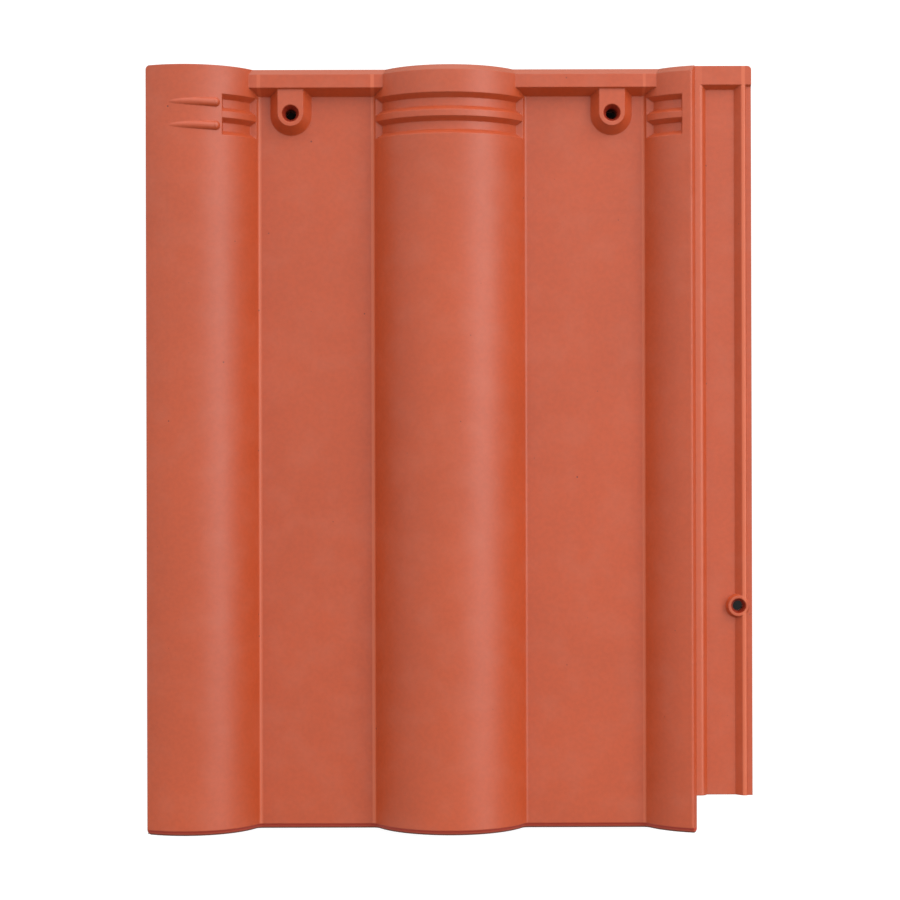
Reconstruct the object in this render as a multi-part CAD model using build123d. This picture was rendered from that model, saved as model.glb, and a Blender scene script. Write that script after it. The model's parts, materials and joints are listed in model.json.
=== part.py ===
from build123d import *
import os
from math import sqrt

# The tile lies face up: the head is at +Y, the side lock at +X, and the origin is
# the middle of its footprint on the plane that its nibs and weather bars rest on.

# Footprint
tile_length = 420.0
cover_width = 300.0
lock_width = 31.3
lock_setback = 20.0
corner_round = 2.2

# Thicknesses and standing height
standing_height = 10.0
pan_thickness = 12.0
roll_wall = 9.5
edge_wall = 5.3
lock_wall = 6.3

# Clearances to the neighbouring tiles
lap_clearance = 0.3
hook_clearance = 3.0

# Rolls: radius, rise above the pan, and where their axes stand
roll_rise = 26.0
left_roll_radius = 42.5
left_roll_inset = 20.7
centre_roll_radius = 46.7
roll_pitch = 145.0
half_roll_radius = 43.5
half_roll_drop = 4.5
half_roll_outset = 11.2
base_round = 2.0

# Open edge of the half roll, beside the side lock
roll_edge_inset = 1.7
roll_edge_batter = 2.2
roll_edge_round = 1.4

# Side lock
ledge_width = 3.8
ledge_round = 2.6
channel_depth = 3.7
channel_inner_run = 2.4
channel_outer_run = 3.8
channel_head_run = 2.3
rib_top_width = 2.0
rib_inner_round = 1.6
rib_outer_round = 0.9
rib_outer_run = 0.7
flange_width = 2.7
flange_drop = 1.5
hook_height = 2.5
edge_relief = 1.6

# Head lip
lip_height = 8.3
lip_top_length = 10.3
lip_slope_run = 3.9
head_chamfer = 3.0

# Tail edge, a steep step above a blunt nose, and the weather bars underneath
tail_step_length = 1.1
tail_step_drop = 1.4
tail_nose_length = 1.7
tail_nose_drop = 0.9
skirt_length = 11.0
bar_length = 8.0
bar_gap = 17.0

# Grooves across the rolls, and the ridges in line with them
groove_depth = 3.2
groove_width = 9.6
groove_floor_width = 4.4
groove_pitch = 12.75
groove_from_head = 20.2
groove_count = 2
land_drop = 0.15
facet_rise = 2.0
left_groove_start = 21.0
half_groove_stop = 5.2
ridge_radius = 2.65
ridge_height = 2.0
ridge_start = -9.5
ridge_end = 19.9

# Nail bosses under the head lip
boss_height = 7.0
boss_top_radius = 7.0
boss_base_radius = 11.5
boss_from_head = 24.2
boss_outset = 57.3
boss_pitch = 177.5
nail_radius = 3.0
nail_mouth_radius = 4.8
nail_mouth_depth = 4.5

# Clip boss on the side lock's outer rib
clip_boss_from_head = 296.1
clip_boss_inset = 7.6
clip_boss_base_radius = 6.8
clip_boss_top_radius = 5.6
clip_mouth_radius = 4.2
clip_mouth_depth = 4.0
clip_hole_radius = 2.75

# Nibs that hook over the batten
nib_width = 32.0
nib_length = 13.0
nib_draft = 10.0
nib_from_head = 1.5

# Places worked out from the sizes
margin = 5.0
skin = 0.3
head_y = tile_length / 2
tail_y = -head_y
left_x = -(cover_width + lock_width) / 2
right_x = left_x + cover_width + lock_width
cover_x = left_x + cover_width
pan_bottom = standing_height
pan_top = pan_bottom + pan_thickness
nest_height = pan_top

left_axis_x = left_x + left_roll_inset
centre_axis_x = left_axis_x + roll_pitch
half_axis_x = cover_x + half_roll_outset
left_axis_z = pan_top + roll_rise - left_roll_radius
centre_axis_z = pan_top + roll_rise - centre_roll_radius
half_axis_z = pan_top + roll_rise - half_roll_drop - half_roll_radius
crest_z = pan_top + roll_rise


def roll_height(axis_z, radius, offset):
    """Height of a roll's surface at a distance across from its axis."""
    return axis_z + sqrt(radius**2 - offset**2)


def roll_reach(axis_z, radius, height):
    """Distance across from a roll's axis to its surface at a height."""
    return sqrt(radius**2 - (height - axis_z) ** 2)


lap_z = roll_height(left_axis_z, left_roll_radius, left_roll_inset) - edge_wall
lock_top = lap_z - lap_clearance
channel_z = lock_top - channel_depth
lock_bottom = channel_z - lock_wall

roll_edge_x = cover_x - roll_edge_inset
roll_edge_z = roll_height(half_axis_z, half_roll_radius, half_axis_x - roll_edge_x)
ledge_x = roll_edge_x + roll_edge_batter
channel_left_top = ledge_x + ledge_width
channel_left = channel_left_top + channel_inner_run
flange_z = lock_top - flange_drop
flange_left = right_x - flange_width
rib_right = flange_left - rib_outer_run
rib_left = rib_right - rib_top_width
channel_right = rib_left - channel_outer_run
lock_tail_y = tail_y + lock_setback
lip_y = head_y - lip_top_length

left_base_x = left_axis_x + roll_reach(left_axis_z, left_roll_radius, pan_top)
centre_reach = roll_reach(centre_axis_z, centre_roll_radius, pan_top)
half_base_x = half_axis_x - roll_reach(half_axis_z, half_roll_radius, pan_top)
left_pan_x = (left_base_x + centre_axis_x - centre_reach) / 2
right_pan_x = (half_base_x + centre_axis_x + centre_reach) / 2


def rect(x_low, x_high, z_low, z_high):
    """Rectangle between two places across and two heights."""
    middle = Pos((x_low + x_high) / 2, (z_low + z_high) / 2)
    return middle * Rectangle(x_high - x_low, z_high - z_low)


def disc(x, z, radius):
    """Full round of a roll, seen along the tile."""
    return Pos(x, z) * Circle(radius)


def shape(*points):
    """Closed outline through its corners."""
    return Polygon(*points, align=None)


def run(section, y_low, y_high):
    """Section across the tile, carried along it between two places."""
    face = Pos(0, y_low, 0) * (Plane.XZ * section)
    return extrude(face, amount=y_high - y_low, dir=(0, 1, 0))


def across(outline, x_low, x_high):
    """Outline seen from the side, carried across the tile between two places."""
    face = Pos(x_low, 0, 0) * (Plane.YZ * outline)
    return extrude(face, amount=x_high - x_low, dir=(1, 0, 0))


def ring(x, z, *profile):
    """Profile of radii and places along the tile, turned about a roll's axis."""
    outline = shape(*[(x + radius, y) for radius, y in profile])
    return revolve(Pos(0, 0, z) * outline, Axis((x, 0, z), (0, 1, 0)))


def filled_section(inset=0):
    """Everything under the top line, down to the rest plane, with that line sunk by an inset."""
    top = crest_z + margin
    pan_z = pan_top - inset
    left_radius = left_roll_radius - inset
    centre_radius = centre_roll_radius - inset
    half_radius = half_roll_radius - inset

    left = disc(left_axis_x, left_axis_z, left_radius)
    left &= rect(left_x, left_axis_x + left_radius, 0, top)
    centre = disc(centre_axis_x, centre_axis_z, centre_radius)
    centre &= rect(left_x, cover_x, 0, top)
    lean = roll_edge_batter / (roll_edge_z - lock_top)
    half = disc(half_axis_x, half_axis_z, half_radius)
    half &= shape(
        (centre_axis_x, 0),
        (centre_axis_x, top),
        (ledge_x - lean * (top - lock_top), top),
        (ledge_x, lock_top),
        (ledge_x, 0),
    )
    section = rect(left_axis_x, roll_edge_x, 0, pan_z) + left + centre + half

    centre_reach = roll_reach(centre_axis_z, centre_radius, pan_z)
    bases = [
        left_axis_x + roll_reach(left_axis_z, left_radius, pan_z),
        centre_axis_x - centre_reach,
        centre_axis_x + centre_reach,
        half_axis_x - roll_reach(half_axis_z, half_radius, pan_z),
    ]
    for x in bases:
        corner = section.vertices().sort_by_distance((x, pan_z))[0]
        section = fillet(corner, base_round + inset)
    corner = section.vertices().sort_by_distance((roll_edge_x, roll_edge_z - inset))[0]
    return fillet(corner, roll_edge_round)


def outline():
    """Footprint with the side lock set back at the tail and the outer corners rounded."""
    corners = [
        (left_x, tail_y),
        (left_x, head_y),
        (right_x, head_y),
        (right_x, lock_tail_y),
        (ledge_x, lock_tail_y),
        (ledge_x, tail_y),
    ]
    footprint = shape(*corners)
    for place in (corners[0], corners[1], corners[2], corners[5]):
        corner = footprint.vertices().sort_by_distance(place)[0]
        footprint = fillet(corner, corner_round)
    return footprint


def hollow_section():
    """Open space under the pans, inside the rolls and under the side lock."""
    floor = -margin
    pans = rect(left_x - margin, right_x + margin, floor, pan_bottom)
    left = disc(left_axis_x, left_axis_z, left_roll_radius - roll_wall)
    left += rect(left_x - margin, left_axis_x, floor, lap_z)
    left &= rect(left_x - margin, centre_axis_x, floor, lap_z)
    relief = shape(
        (left_x - margin, lap_z),
        (left_x - margin, lap_z + edge_relief + margin),
        (left_x + edge_relief, lap_z),
    )
    centre = disc(centre_axis_x, centre_axis_z, centre_roll_radius - roll_wall)
    centre &= rect(left_axis_x, cover_x, floor, crest_z)
    half = disc(half_axis_x, half_axis_z, half_roll_radius - roll_wall)
    half += rect(half_axis_x, right_x + margin, floor, lock_bottom)
    half &= rect(centre_axis_x, right_x + margin, floor, lock_bottom)
    return pans + left + relief + centre + half


def lock_cut():
    """Space above the side lock's ledge, channel, rib and flange, stopped at the head."""
    above = lock_top + margin
    section = shape(
        (ledge_x, above),
        (ledge_x, lock_top),
        (channel_left_top, lock_top),
        (channel_left, channel_z),
        (channel_right, channel_z),
        (rib_left, lock_top),
        (rib_right, lock_top),
        (flange_left, flange_z),
        (right_x + margin, flange_z),
        (right_x + margin, above),
    )
    rounds = {channel_left_top: ledge_round, rib_left: rib_inner_round, rib_right: rib_outer_round}
    for x, radius in rounds.items():
        corner = section.vertices().sort_by_distance((x, lock_top))[0]
        section = fillet(corner, radius)
    side = shape(
        (tail_y, channel_z),
        (lip_y - channel_head_run, channel_z),
        (lip_y, lock_top),
        (lip_y, above),
        (tail_y, above),
    )
    return run(section, tail_y, head_y) & across(side, ledge_x, right_x + margin)


def side_lock():
    """Ledge, water channel, rib and flange that the next tile's left roll covers."""
    return run(rect(roll_edge_x, right_x, 0, lock_top), lock_tail_y, head_y) - lock_cut()


def head_lip():
    """Raised bar across both pans, sloped towards the tail and chamfered at the head."""
    top = pan_top + lip_height
    outline = shape(
        (head_y, pan_bottom),
        (head_y, top - head_chamfer),
        (head_y - head_chamfer, top),
        (lip_y, top),
        (lip_y - lip_slope_run, pan_top),
        (lip_y - lip_slope_run, pan_bottom),
    )
    return across(outline, left_axis_x, roll_edge_x)


def roll_head_chamfer(axis_x, axis_z, radius):
    """Chamfer that carries the lip's head edge over a roll."""
    return ring(
        axis_x,
        axis_z,
        (radius - head_chamfer, head_y),
        (radius + margin, head_y - head_chamfer - margin),
        (radius + margin, head_y),
    )


def groove(axis_x, axis_z, radius, y):
    """Groove with sloped sides, turned about a roll's axis."""
    slope = (groove_width - groove_floor_width) / 2 / groove_depth
    half_floor = groove_floor_width / 2
    half_mouth = half_floor + slope * (groove_depth + skin)
    return ring(
        axis_x,
        axis_z,
        (radius - groove_depth, y - half_floor),
        (radius - groove_depth, y + half_floor),
        (radius + skin, y + half_mouth),
        (radius + skin, y - half_mouth),
    )


def land(axis_x, axis_z, radius, y):
    """Slight drop of the strip between a groove and the next one up."""
    next_y = y + groove_pitch
    return ring(
        axis_x,
        axis_z,
        (radius - land_drop, y),
        (radius - land_drop, next_y),
        (radius + skin, next_y),
        (radius + skin, y),
    )


def ridge(y):
    """Ridge over the left roll, rising out of it and ending in a round nose."""
    start = ridge_start / left_roll_radius
    end = ridge_end / left_roll_radius
    shift = ridge_height / (end - start)
    radius = left_roll_radius - shift * start - ridge_radius
    axis_x = left_axis_x + shift
    axis = Axis((axis_x, y, left_axis_z), (0, 1, 0))
    nose_offset = left_axis_x + ridge_end - ridge_radius - axis_x
    nose_z = roll_height(left_axis_z, radius, nose_offset)
    nose = Pos(axis_x + nose_offset, y, nose_z) * Sphere(ridge_radius)
    bar = revolve(Pos(axis_x + radius, y, left_axis_z) * Circle(ridge_radius), axis)
    reach = Pos(axis_x + nose_offset, y, crest_z)
    width = ridge_end - ridge_start + margin
    depth = 2 * (crest_z - lap_z)
    keep = reach * Box(width, 4 * ridge_radius, depth, align=(Align.MAX, Align.CENTER, Align.CENTER))
    return (bar & keep) + nose


def nail_boss(x):
    """U-shaped boss that hangs from the lip round a nail hole."""
    y = head_y - boss_from_head
    cone = Cone(
        boss_base_radius,
        boss_top_radius,
        boss_height,
        align=(Align.CENTER, Align.CENTER, Align.MIN),
    )
    neck = shape(
        (x - boss_base_radius, pan_top),
        (x - boss_top_radius, pan_top + boss_height),
        (x + boss_top_radius, pan_top + boss_height),
        (x + boss_base_radius, pan_top),
    )
    return Pos(x, y, pan_top) * cone + run(neck, y, lip_y)


def nail_hole(x, y, top, mouth_radius, mouth_depth, hole_radius):
    """Straight hole with a tapered mouth at its top."""
    mouth = Cone(
        hole_radius,
        mouth_radius,
        mouth_depth,
        align=(Align.CENTER, Align.CENTER, Align.MAX),
    )
    bore = Cylinder(
        hole_radius, top + margin, align=(Align.CENTER, Align.CENTER, Align.MAX)
    )
    return Pos(x, y, top) * (mouth + bore)


def nib(x):
    """Tapered nib with an upright face towards the tail, which bears on the batten."""
    y = head_y - nib_from_head
    block = extrude(
        Pos(x, y - nib_length, pan_bottom) * Rectangle(nib_width, 2 * nib_length),
        amount=standing_height,
        dir=(0, 0, -1),
        taper=nib_draft,
    )
    bearing = Pos(x, y - nib_length, 0)
    keep = Box(
        2 * nib_width,
        2 * nib_length,
        2 * standing_height,
        align=(Align.CENTER, Align.MIN, Align.CENTER),
    )
    return block & bearing * keep


def roof_tile():
    """The whole tile, cast as one piece."""
    filled = filled_section()
    hollow = hollow_section()

    nose_y = tail_y + tail_nose_length
    step_y = nose_y + tail_step_length
    end = Pos(0, tail_y, 0) * (Plane.XZ * filled_section(tail_step_drop + tail_nose_drop))
    nose = Pos(0, nose_y, 0) * (Plane.XZ * filled_section(tail_step_drop))
    full = Pos(0, step_y, 0) * (Plane.XZ * filled)
    body = loft([end, nose], ruled=True) + loft([nose, full], ruled=True)
    body += run(filled, step_y, head_y)

    body -= roll_head_chamfer(centre_axis_x, centre_axis_z, centre_roll_radius)
    body -= roll_head_chamfer(half_axis_x, half_axis_z, half_roll_radius)
    body += side_lock() + head_lip()

    above_facets = pan_top + facet_rise
    groove_zone = {
        "left": rect(left_axis_x + left_groove_start, left_pan_x, above_facets, crest_z),
        "centre": rect(left_pan_x, right_pan_x, above_facets, crest_z),
        "half": rect(right_pan_x, roll_edge_x - half_groove_stop, above_facets, crest_z),
    }
    rolls = {
        "left": (left_axis_x, left_axis_z, left_roll_radius),
        "centre": (centre_axis_x, centre_axis_z, centre_roll_radius),
        "half": (half_axis_x, half_axis_z, half_roll_radius),
    }
    for index in range(groove_count):
        y = head_y - groove_from_head - index * groove_pitch
        for name, roll in rolls.items():
            cut = groove(*roll, y)
            if index > 0:
                cut += land(*roll, y)
            body -= cut & run(groove_zone[name], tail_y, head_y)
        body += ridge(y)

    nail_places = [left_axis_x + boss_outset, left_axis_x + boss_outset + boss_pitch]
    for x in nail_places:
        body += nail_boss(x)
    clip_x = right_x - clip_boss_inset
    clip_y = head_y - clip_boss_from_head
    body += Pos(clip_x, clip_y, channel_z) * Cone(
        clip_boss_base_radius,
        clip_boss_top_radius,
        channel_depth,
        align=(Align.CENTER, Align.CENTER, Align.MIN),
    )

    body &= extrude(outline(), amount=crest_z + margin, dir=(0, 0, 1))
    body -= run(hollow, tail_y - margin, head_y + margin)
    bars = hollow & filled & rect(left_x, cover_x - lap_clearance, 0, crest_z)
    bars -= Pos(0, -nest_height) * filled
    body += run(bars, tail_y, tail_y + skirt_length)
    lap_zone = rect(left_x - margin, left_x + lock_width + lap_clearance, -margin, lap_z)
    bar_y = tail_y + skirt_length + bar_gap
    body += run(bars - lap_zone, bar_y, bar_y + bar_length)

    hook_low = left_x + channel_left - cover_x + hook_clearance
    hook_high = left_x + channel_right - cover_x - hook_clearance
    hook = rect(hook_low, hook_high, lap_z - hook_height, lap_z + edge_wall / 2)
    hook_head_y = lip_y - channel_head_run - hook_clearance
    body += run(hook, tail_y + skirt_length / 2, hook_head_y)

    for x in (left_pan_x, right_pan_x):
        body += nib(x)

    nail_y = head_y - boss_from_head
    boss_z = pan_top + boss_height
    for x in nail_places:
        body -= nail_hole(x, nail_y, boss_z, nail_mouth_radius, nail_mouth_depth, nail_radius)
    body -= nail_hole(
        clip_x, clip_y, lock_top, clip_mouth_radius, clip_mouth_depth, clip_hole_radius
    )
    return body


os.makedirs("parts", exist_ok=True)
export_step(roof_tile(), "parts/roof_tile.step")
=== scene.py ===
import json
import math

import bpy
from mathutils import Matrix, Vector


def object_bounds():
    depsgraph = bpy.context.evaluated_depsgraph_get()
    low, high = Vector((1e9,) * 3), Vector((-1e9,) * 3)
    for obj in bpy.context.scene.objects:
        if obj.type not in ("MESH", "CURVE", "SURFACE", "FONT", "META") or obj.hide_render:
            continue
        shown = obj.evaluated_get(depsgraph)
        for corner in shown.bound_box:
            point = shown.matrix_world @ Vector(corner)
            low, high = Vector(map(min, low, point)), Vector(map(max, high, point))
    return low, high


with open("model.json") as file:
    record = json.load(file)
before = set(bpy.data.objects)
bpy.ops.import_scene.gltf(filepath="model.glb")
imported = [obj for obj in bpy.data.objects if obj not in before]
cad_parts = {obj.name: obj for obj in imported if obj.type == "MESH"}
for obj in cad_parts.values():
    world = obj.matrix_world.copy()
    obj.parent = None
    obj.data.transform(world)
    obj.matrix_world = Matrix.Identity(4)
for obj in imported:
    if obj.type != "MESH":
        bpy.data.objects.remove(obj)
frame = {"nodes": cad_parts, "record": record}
cad_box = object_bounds()

MM = 0.001


def mm(*sizes):
    """Sizes given in millimetres, in metres."""
    return tuple(size * MM for size in sizes)


# Heights and ends of the tile
PAN_TOP = 22.0 * MM
BOSS_TOP = 29.0 * MM
LOCK_TOP = 37.0 * MM
TAIL_END = cad_box[0][1]
HEAD_END = cad_box[1][1]

# Camera straight above the tile, with the head at the top of the square picture
PHOTO_SIZE = 900
PIXELS_PER_MM_AT_PAN = 1.8024
CAMERA_ABOVE_PAN = 1256.0 * MM
CAMERA_AIM = mm(0.02, -0.22)
CAMERA_ROLL = math.radians(-0.144)
SENSOR = 36.0
NEAREST_SEEN = 0.05
FARTHEST_SEEN = 20.0

# Inside of the tile: each roll's axis across and up, with a radius just outside its hollow
ROLL_CORES = (mm(-144.95, 5.5, 35.0), mm(0.05, 1.3, 39.2), mm(145.55, 0.0, 36.0))
PAN_CORE = 19.0 * MM
LOCK_INNER_EDGE = 134.5 * MM
LOCK_CORE = 30.0 * MM
END_FACE = HEAD_END - 1.5 * MM

# Slope at which the coat gives way to the bare underside, and the raggedness of that border
BARE_FACING = -0.30
COATED_FACING = -0.10
RAGGED_SCALE = 260.0
RAGGED_SPREAD = 0.5

# Bands across the tile at its two ends: a painted sheen on the head's chamfer, and painted shade on
# the tail's step and end face
HEAD_RIM = HEAD_END - 3.5 * MM
RIM_SOFTNESS = 0.5 * MM
RIM_FACING_FROM = 0.3
RIM_FACING_TO = 0.6
TAIL_STEP = TAIL_END + 2.7 * MM
TAIL_NOSE = TAIL_END + 1.6 * MM
TAIL_EDGE = TAIL_END + 0.7 * MM
BAND_SOFTNESS = 0.3 * MM

# Painted highlight lines along the tile, on the rolls' feet and on the side lock's ledge and rib:
# place across, half width and strength
HIGHLIGHT_LINES = (
    (-105.1 * MM, 1.0 * MM, 0.5),
    (-42.4 * MM, 1.0 * MM, 0.7),
    (107.6 * MM, 0.8 * MM, 0.5),
    (136.8 * MM, 1.8 * MM, 0.3),
    (161.2 * MM, 1.0 * MM, 0.7),
)

# Holes, where the record's mounts have them: across, along, and each mouth's height and radius;
# their walls get painted shade from a little below the mouth
mounts = {mount["name"]: mount for mount in frame["record"]["mounts"]}
nail_x, nail_y, _ = mounts["head_nail_holes"]["pos_m"]
nail_reach = mounts["head_nail_holes"]["dims"]["spacing_x_mm"] * MM / 2
clip_x, clip_y, _ = mounts["clip_hole"]["pos_m"]
NAIL_MOUTH = 4.8 * MM
CLIP_MOUTH = 4.2 * MM
HOLES = (
    (nail_x - nail_reach, nail_y, BOSS_TOP, NAIL_MOUTH),
    (nail_x + nail_reach, nail_y, BOSS_TOP, NAIL_MOUTH),
    (clip_x, clip_y, LOCK_TOP, CLIP_MOUTH),
)
HOLE_DARK_BELOW = 0.6 * MM
HOLE_SOFTNESS = 0.4 * MM

# Coat, from the open faces to the painted highlight lines, the painted sheen at the head and painted
# shade at the tail, the painted shade in the holes, and the pores
COAT_COLOR = (0.455, 0.060, 0.009, 1.0)
FILM_COLOR = (0.480, 0.110, 0.055, 1.0)
HIGHLIGHT_COLOR = (0.620, 0.125, 0.045, 1.0)
RIM_SHEEN_COLOR = (0.390, 0.080, 0.032, 1.0)
STEP_SHADE_COLOR = (0.480, 0.022, 0.002, 1.0)
NOSE_COLOR = (0.455, 0.055, 0.020, 1.0)
EDGE_SHADE_COLOR = (0.120, 0.022, 0.008, 1.0)
HOLE_SHADE_COLOR = (0.290, 0.020, 0.003, 1.0)
PORE_COLOR = (0.170, 0.022, 0.005, 1.0)
COAT_ROUGHNESS = 0.5
DULL_ROUGHNESS = 0.85
COAT_SPECULAR = 0.8

# Cast body under the coat, bare on the underside
BODY_COLOR = (0.215, 0.068, 0.037, 1.0)
BLOOM_COLOR = (0.360, 0.190, 0.135, 1.0)

# Mottled tones: noise in repeats per metre, the part of it that is used, and what it gives
TONE = dict(scale=16.0, detail=3.0, low=0.30, high=0.70, least=0.965, most=1.035)
FINE_TONE = dict(scale=420.0, detail=3.0, low=0.30, high=0.70, least=0.960, most=1.040)
FILM = dict(scale=70.0, detail=5.0, low=0.40, high=0.75, least=0.0, most=0.22)
BLOOM = dict(scale=34.0, detail=7.0, low=0.42, high=0.72, least=0.0, most=0.55)
SAND = dict(scale=650.0, detail=2.0, low=0.30, high=0.70, least=0.82, most=1.16)

# Pores: cells per metre, the cells left without one, and size and edge in cells
PORE_SCALE = 170.0
PORE_FREE_SHARE = 0.80
PORE_GROWTH = 0.55
PORE_EDGE = 0.05

# Relief: noise of the grain, the lumps and the bare body's roughness, with their shares
EDGE_ROUND = 0.7 * MM
EDGE_SAMPLES = 4
GRAIN_SCALE = 1100.0
GRAIN_DETAIL = 3.0
GRAIN_SHARE = 0.25
LUMP_SCALE = 180.0
LUMP_SHARE = 0.5
COARSE_SCALE = 520.0
COARSE_DETAIL = 4.0
COARSE_SHARE = 6.0
RELIEF_DEPTH = 0.06 * MM

# Floor, which bounces light as a plain matte sheet a hair below the tile
FLOOR_REACH = 8.0
FLOOR_BELOW = 0.2 * MM
FLOOR_COLOR = (0.8, 0.8, 0.8, 1.0)

# Floor as the camera sees it: a painted shadow, dark under the tile, fading softly to white around
# it
LEFT_FADE = mm(-168.0, -115.0)
RIGHT_FADE = mm(166.0, 169.0)
HEAD_FADE = mm(195.0, 212.0)
TAIL_FADE = mm(-195.5, -186.0)
FLOOR_GLOW = 0.9
SHOWN_IN_SHADOW = 0.03
SHOWN_AROUND = 0.25

# Floor in reflections, darkened by a painted shadow towards the tile, which reaches further off at
# its ends
REFLECTED_FADE = mm(170.0, 450.0)
REFLECTED_ALONG = 0.6

# Surroundings: brightness from above, from the left, and from beyond the head and the tail
WORLD_COLOR = (1.0, 1.0, 1.0, 1.0)
WORLD_ABOVE = 0.535
WORLD_LEFT = 0.459
WORLD_HEAD = 2.094
WORLD_TAIL = 0.090

# Square soft lights that look at the tile: place in metres and power in watts
LIGHT_SIZE = 1.0
LIGHT_AIM = (0.0, 0.0, 0.02)
LIGHTS = {
    "right": dict(place=(1.6, 0.0, 1.55), power=16.6),
    "head_right": dict(place=(1.3, 1.3, 1.1), power=12.6),
}

# Sockets of a mix node that blends colours
MIX_FIRST = 6
MIX_SECOND = 7
MIX_RESULT = 2


def feed(tree, socket, source):
    """Link an output to a socket, or set the socket's own value."""
    if isinstance(source, bpy.types.NodeSocket):
        tree.links.new(source, socket)
    else:
        socket.default_value = source


def calc(tree, operation, *terms, clamp=False):
    """Result of one math node."""
    node = tree.nodes.new("ShaderNodeMath")
    node.operation = operation
    node.use_clamp = clamp
    for socket, term in zip(node.inputs, terms):
        feed(tree, socket, term)
    return node.outputs["Value"]


def square_sum(tree, first, second):
    """Sum of the squares of two values."""
    return calc(tree, "MULTIPLY_ADD", first, first, calc(tree, "MULTIPLY", second, second))


def ramp(tree, value, low, high, to_low=0.0, to_high=1.0):
    """Smooth change between two values of a quantity."""
    node = tree.nodes.new("ShaderNodeMapRange")
    node.interpolation_type = "SMOOTHSTEP"
    feed(tree, node.inputs["Value"], value)
    node.inputs["From Min"].default_value = low
    node.inputs["From Max"].default_value = high
    node.inputs["To Min"].default_value = to_low
    node.inputs["To Max"].default_value = to_high
    return node.outputs["Result"]


def above(tree, value, limit, softness):
    """0 below a limit and 1 above it, with a soft step."""
    return ramp(tree, value, limit - softness, limit + softness)


def below(tree, value, limit, softness, most=1.0):
    """The most below a limit and 0 above it, with a soft step."""
    return ramp(tree, value, limit - softness, limit + softness, most, 0.0)


def noise(tree, place, scale, detail=2.0):
    """Noise from 0 to 1, with its scale in repeats per metre."""
    node = tree.nodes.new("ShaderNodeTexNoise")
    feed(tree, node.inputs["Vector"], place)
    node.inputs["Scale"].default_value = scale
    node.inputs["Detail"].default_value = detail
    return node.outputs["Fac"]


def mottle(tree, place, scale, detail, low, high, least, most):
    """Noise stretched to run between the least and the most."""
    return ramp(tree, noise(tree, place, scale, detail), low, high, least, most)


def mix_color(tree, factor, first, second, blend="MIX"):
    """Two colours blended by a factor."""
    node = tree.nodes.new("ShaderNodeMix")
    node.data_type = "RGBA"
    node.blend_type = blend
    feed(tree, node.inputs["Factor"], factor)
    feed(tree, node.inputs[MIX_FIRST], first)
    feed(tree, node.inputs[MIX_SECOND], second)
    return node.outputs[MIX_RESULT]


def mix_value(tree, factor, first, second):
    """Two values blended by a factor."""
    change = calc(tree, "SUBTRACT", second, first)
    return calc(tree, "MULTIPLY_ADD", change, factor, first)


def axes(tree, vector):
    """The three parts of a vector."""
    node = tree.nodes.new("ShaderNodeSeparateXYZ")
    feed(tree, node.inputs["Vector"], vector)
    return node.outputs["X"], node.outputs["Y"], node.outputs["Z"]


def object_place(tree):
    """Place on the object, in metres."""
    return tree.nodes.new("ShaderNodeTexCoord").outputs["Object"]


def set_camera():
    """Camera at the photograph's viewing angle, for a square picture."""
    data = bpy.data.cameras.new("camera")
    data.sensor_width = SENSOR
    view_width = PHOTO_SIZE / PIXELS_PER_MM_AT_PAN * MM
    data.lens = SENSOR * CAMERA_ABOVE_PAN / view_width
    data.clip_start = NEAREST_SEEN
    data.clip_end = FARTHEST_SEEN
    camera = bpy.data.objects.new("camera", data)
    camera.location = (*CAMERA_AIM, PAN_TOP + CAMERA_ABOVE_PAN)
    camera.rotation_euler = (0.0, 0.0, CAMERA_ROLL)
    bpy.context.scene.collection.objects.link(camera)
    bpy.context.scene.camera = camera


def underside_mask(tree, place, normal_z):
    """1 on the bare underside, 0 on the coated weather side."""
    border = noise(tree, place, RAGGED_SCALE)
    ragged = calc(tree, "MULTIPLY_ADD", border, RAGGED_SPREAD, -RAGGED_SPREAD / 2)
    facing = calc(tree, "ADD", normal_z, ragged)
    facing_down = ramp(tree, facing, BARE_FACING, COATED_FACING, 1.0, 0.0)
    x, y, z = axes(tree, place)
    beside_lock = calc(tree, "LESS_THAN", x, LOCK_INNER_EDGE)
    allowed = calc(tree, "MAXIMUM", beside_lock, calc(tree, "LESS_THAN", z, LOCK_CORE))
    inside = calc(tree, "LESS_THAN", z, PAN_CORE)
    for axis_x, axis_z, radius in ROLL_CORES:
        across = calc(tree, "SUBTRACT", x, axis_x)
        up = calc(tree, "SUBTRACT", z, axis_z)
        in_roll = calc(tree, "LESS_THAN", square_sum(tree, across, up), radius**2)
        inside = calc(tree, "MAXIMUM", inside, calc(tree, "MULTIPLY", in_roll, allowed))
    between_ends = calc(tree, "LESS_THAN", calc(tree, "ABSOLUTE", y), END_FACE)
    return calc(tree, "MAXIMUM", facing_down, calc(tree, "MULTIPLY", inside, between_ends))


def highlight_line_mask(tree, x):
    """Strength of the painted highlight lines on the rolls' feet and on the side lock's ledge and
    rib.
    """
    painted_highlight = 0.0
    for line, half_width, strength in HIGHLIGHT_LINES:
        away = calc(tree, "ABSOLUTE", calc(tree, "SUBTRACT", x, line))
        on_line = below(tree, away, half_width, BAND_SOFTNESS, strength)
        painted_highlight = calc(tree, "MAXIMUM", painted_highlight, on_line)
    return painted_highlight


def hole_shade_mask(tree, x, y, z):
    """1 on the walls of the holes below their mouths, where shade is painted."""
    inside = 0.0
    for hole_x, hole_y, mouth_z, radius in HOLES:
        across = calc(tree, "SUBTRACT", x, hole_x)
        along = calc(tree, "SUBTRACT", y, hole_y)
        in_bore = calc(tree, "LESS_THAN", square_sum(tree, across, along), radius**2)
        deep = below(tree, z, mouth_z - HOLE_DARK_BELOW, HOLE_SOFTNESS)
        inside = calc(tree, "MAXIMUM", inside, calc(tree, "MULTIPLY", in_bore, deep))
    return inside


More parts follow.
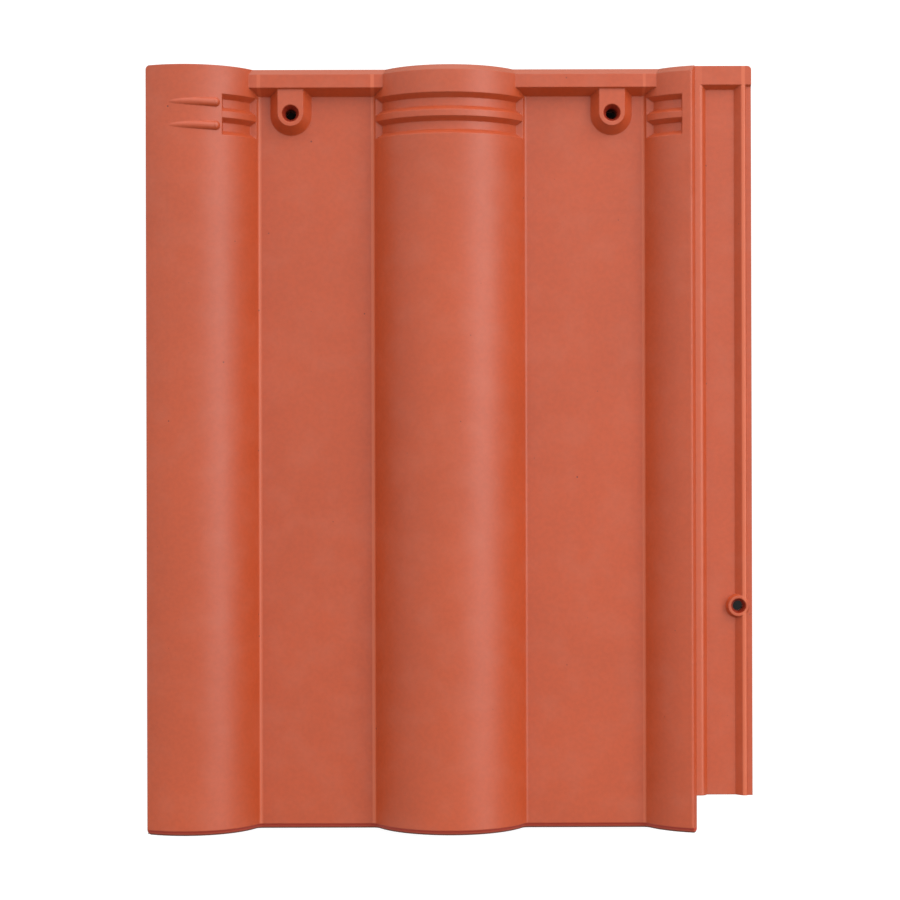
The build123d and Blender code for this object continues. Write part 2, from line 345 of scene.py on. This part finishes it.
def pore_mask(tree, place):
    """1 in the sparse pores of the coat."""
    cells = tree.nodes.new("ShaderNodeTexVoronoi")
    feed(tree, cells.inputs["Vector"], place)
    cells.inputs["Scale"].default_value = PORE_SCALE
    pick = axes(tree, cells.outputs["Color"])[0]
    chosen = calc(tree, "SUBTRACT", pick, PORE_FREE_SHARE, clamp=True)
    size = calc(tree, "MULTIPLY", chosen, PORE_GROWTH)
    depth = calc(tree, "SUBTRACT", size, cells.outputs["Distance"], clamp=True)
    return ramp(tree, depth, 0.0, PORE_EDGE)


def coat_color(tree, place, normal_y, pore):
    """Terracotta coat with painted highlight lines, a painted sheen on the head's chamfer, painted
    shade at the tail and in the holes, and pores.
    """
    x, y, z = axes(tree, place)
    tones = calc(tree, "MULTIPLY", mottle(tree, place, **TONE), mottle(tree, place, **FINE_TONE))
    coat = mix_color(tree, 1.0, COAT_COLOR, tones, "MULTIPLY")
    coat = mix_color(tree, mottle(tree, place, **FILM), coat, FILM_COLOR)
    # Painted highlight: paler lines where light catches the rolls' feet and the side lock's ledge
    # and rib
    coat = mix_color(tree, highlight_line_mask(tree, x), coat, HIGHLIGHT_COLOR)
    # Painted sheen: where the head's chamfer faces the head, it turns a paler, pinker tint as if
    # catching the light
    at_head = above(tree, y, HEAD_RIM, RIM_SOFTNESS)
    sloped = ramp(tree, normal_y, RIM_FACING_FROM, RIM_FACING_TO)
    coat = mix_color(tree, calc(tree, "MULTIPLY", at_head, sloped), coat, RIM_SHEEN_COLOR)
    # Painted shade at the tail: a deeper, darker red on the step, a band near the coat's own colour
    # on the nose, and dark brown on the edge and end face
    for start, tint in ((TAIL_STEP, STEP_SHADE_COLOR), (TAIL_NOSE, NOSE_COLOR), (TAIL_EDGE, EDGE_SHADE_COLOR)):
        coat = mix_color(tree, below(tree, y, start, BAND_SOFTNESS), coat, tint)
    # Painted shade on the holes' walls below their mouths
    coat = mix_color(tree, hole_shade_mask(tree, x, y, z), coat, HOLE_SHADE_COLOR)
    return mix_color(tree, pore, coat, PORE_COLOR)


def body_color(tree, place):
    """Bare cast concrete with a pale bloom and sandy grain."""
    body = mix_color(tree, mottle(tree, place, **BLOOM), BODY_COLOR, BLOOM_COLOR)
    return mix_color(tree, 1.0, body, mottle(tree, place, **SAND), "MULTIPLY")


def surface_relief(tree, place, bare, pore):
    """Normal with rounded edges, fine grain, lumps, pores and a rougher underside."""
    rounded = tree.nodes.new("ShaderNodeBevel")
    rounded.samples = EDGE_SAMPLES
    rounded.inputs["Radius"].default_value = EDGE_ROUND
    grain = noise(tree, place, GRAIN_SCALE, GRAIN_DETAIL)
    lumps = calc(tree, "MULTIPLY", noise(tree, place, LUMP_SCALE), LUMP_SHARE)
    coarse = calc(tree, "MULTIPLY", noise(tree, place, COARSE_SCALE, COARSE_DETAIL), bare)
    height = calc(tree, "MULTIPLY_ADD", grain, GRAIN_SHARE, lumps)
    height = calc(tree, "MULTIPLY_ADD", coarse, COARSE_SHARE, height)
    height = calc(tree, "SUBTRACT", height, pore)
    bump = tree.nodes.new("ShaderNodeBump")
    bump.inputs["Strength"].default_value = 1.0
    bump.inputs["Distance"].default_value = RELIEF_DEPTH
    feed(tree, bump.inputs["Height"], height)
    feed(tree, bump.inputs["Normal"], rounded.outputs["Normal"])
    return bump.outputs["Normal"]


def coated_concrete():
    """Terracotta coat on the weather side of fine cast concrete, bare below."""
    material = bpy.data.materials.new("coated_concrete")
    material.use_nodes = True
    tree = material.node_tree
    shader = tree.nodes["Principled BSDF"]
    place = object_place(tree)
    geometry = tree.nodes.new("ShaderNodeNewGeometry")
    _, normal_y, normal_z = axes(tree, geometry.outputs["Normal"])
    bare = underside_mask(tree, place, normal_z)
    pore = pore_mask(tree, place)
    color = mix_color(tree, bare, coat_color(tree, place, normal_y, pore), body_color(tree, place))
    feed(tree, shader.inputs["Base Color"], color)
    shader.inputs["Specular IOR Level"].default_value = COAT_SPECULAR
    _, y, _ = axes(tree, place)
    dull = calc(tree, "MAXIMUM", bare, below(tree, y, TAIL_STEP, BAND_SOFTNESS))
    roughness = ramp(tree, dull, 0.0, 1.0, COAT_ROUGHNESS, DULL_ROUGHNESS)
    feed(tree, shader.inputs["Roughness"], roughness)
    feed(tree, shader.inputs["Normal"], surface_relief(tree, place, bare, pore))
    return material


def unshadowed_floor_mask(tree, x, y):
    """0 under the tile, where shadow is painted on the floor, 1 on the floor that shows around it.
    """
    left = ramp(tree, x, *LEFT_FADE, 1.0, 0.0)
    side = calc(tree, "MAXIMUM", left, ramp(tree, x, *RIGHT_FADE))
    tail = ramp(tree, y, *TAIL_FADE, 1.0, 0.0)
    end = calc(tree, "MAXIMUM", ramp(tree, y, *HEAD_FADE), tail)
    return calc(tree, "MAXIMUM", side, end)


def floor_material():
    """Matte to the light that it gives the tile, and white with a painted shadow where it is seen.
    """
    material = bpy.data.materials.new("floor")
    material.use_nodes = True
    tree = material.node_tree
    tree.nodes.remove(tree.nodes["Principled BSDF"])
    x, y, _ = axes(tree, object_place(tree))
    unshadowed_floor = unshadowed_floor_mask(tree, x, y)

    matte = tree.nodes.new("ShaderNodeBsdfDiffuse")
    matte.inputs["Color"].default_value = FLOOR_COLOR
    shown = tree.nodes.new("ShaderNodeBsdfDiffuse")
    # Painted shadow: the floor's own colour is dark under the tile, and its glow to the camera fades
    # out there too
    feed(tree, shown.inputs["Color"], mix_value(tree, unshadowed_floor, SHOWN_IN_SHADOW, SHOWN_AROUND))
    # Painted shadow in reflections: the floor's glow fades towards the tile
    along = calc(tree, "MULTIPLY", calc(tree, "ABSOLUTE", y), REFLECTED_ALONG)
    away = calc(tree, "MAXIMUM", calc(tree, "ABSOLUTE", x), along)
    reflected = ramp(tree, away, *REFLECTED_FADE)
    rays = tree.nodes.new("ShaderNodeLightPath")
    brightness = mix_value(tree, rays.outputs["Is Camera Ray"], reflected, unshadowed_floor)
    glow = tree.nodes.new("ShaderNodeEmission")
    feed(tree, glow.inputs["Strength"], calc(tree, "MULTIPLY", brightness, FLOOR_GLOW))
    lit = tree.nodes.new("ShaderNodeAddShader")
    for socket, part in zip(lit.inputs, (shown.outputs["BSDF"], glow.outputs["Emission"])):
        feed(tree, socket, part)

    seen = calc(tree, "MAXIMUM", rays.outputs["Is Camera Ray"], rays.outputs["Is Glossy Ray"])
    seen = calc(tree, "MAXIMUM", seen, rays.outputs["Is Transmission Ray"])
    mix = tree.nodes.new("ShaderNodeMixShader")
    for socket, part in zip(mix.inputs, (seen, matte.outputs["BSDF"], lit.outputs["Shader"])):
        feed(tree, socket, part)
    feed(tree, tree.nodes["Material Output"].inputs["Surface"], mix.outputs["Shader"])
    return material


def add_floor():
    """Wide pale floor, a hair below the tile's feet."""
    reach = FLOOR_REACH
    corners = ((-reach, -reach), (reach, -reach), (reach, reach), (-reach, reach))
    mesh = bpy.data.meshes.new("floor")
    mesh.from_pydata([(x, y, -FLOOR_BELOW) for x, y in corners], [], [tuple(range(len(corners)))])
    mesh.materials.append(floor_material())
    floor = bpy.data.objects.new("floor", mesh)
    bpy.context.scene.collection.objects.link(floor)


def add_light(name, place, power):
    """Square soft light that looks at the tile."""
    data = bpy.data.lights.new(name, "AREA")
    data.shape = "SQUARE"
    data.size = LIGHT_SIZE
    data.energy = power
    light = bpy.data.objects.new(name, data)
    light.location = place
    direction = Vector(LIGHT_AIM) - Vector(place)
    light.rotation_euler = direction.to_track_quat("-Z", "Y").to_euler()
    bpy.context.scene.collection.objects.link(light)


def set_world():
    """Soft surroundings, brightest towards the tile's head."""
    world = bpy.data.worlds.new("world")
    world.use_nodes = True
    tree = world.node_tree
    x, y, z = axes(tree, tree.nodes.new("ShaderNodeTexCoord").outputs["Generated"])
    upward = calc(tree, "MULTIPLY", z, calc(tree, "MAXIMUM", z, 0.0))
    total = calc(tree, "MULTIPLY", upward, WORLD_ABOVE)
    for axis, side, strength in ((x, -1.0, WORLD_LEFT), (y, 1.0, WORLD_HEAD), (y, -1.0, WORLD_TAIL)):
        share = calc(tree, "MAXIMUM", calc(tree, "MULTIPLY", axis, side), 0.0)
        total = calc(tree, "MULTIPLY_ADD", share, strength, total)
    background = tree.nodes["Background"]
    background.inputs["Color"].default_value = WORLD_COLOR
    feed(tree, background.inputs["Strength"], total)
    bpy.context.scene.world = world


set_camera()
tile = frame["nodes"]["roof_tile"]
tile.data.materials.clear()
tile.data.materials.append(coated_concrete())
add_floor()
set_world()
for name, light in LIGHTS.items():
    add_light(name, **light)

bpy.context.scene.view_settings.view_transform = "Standard"
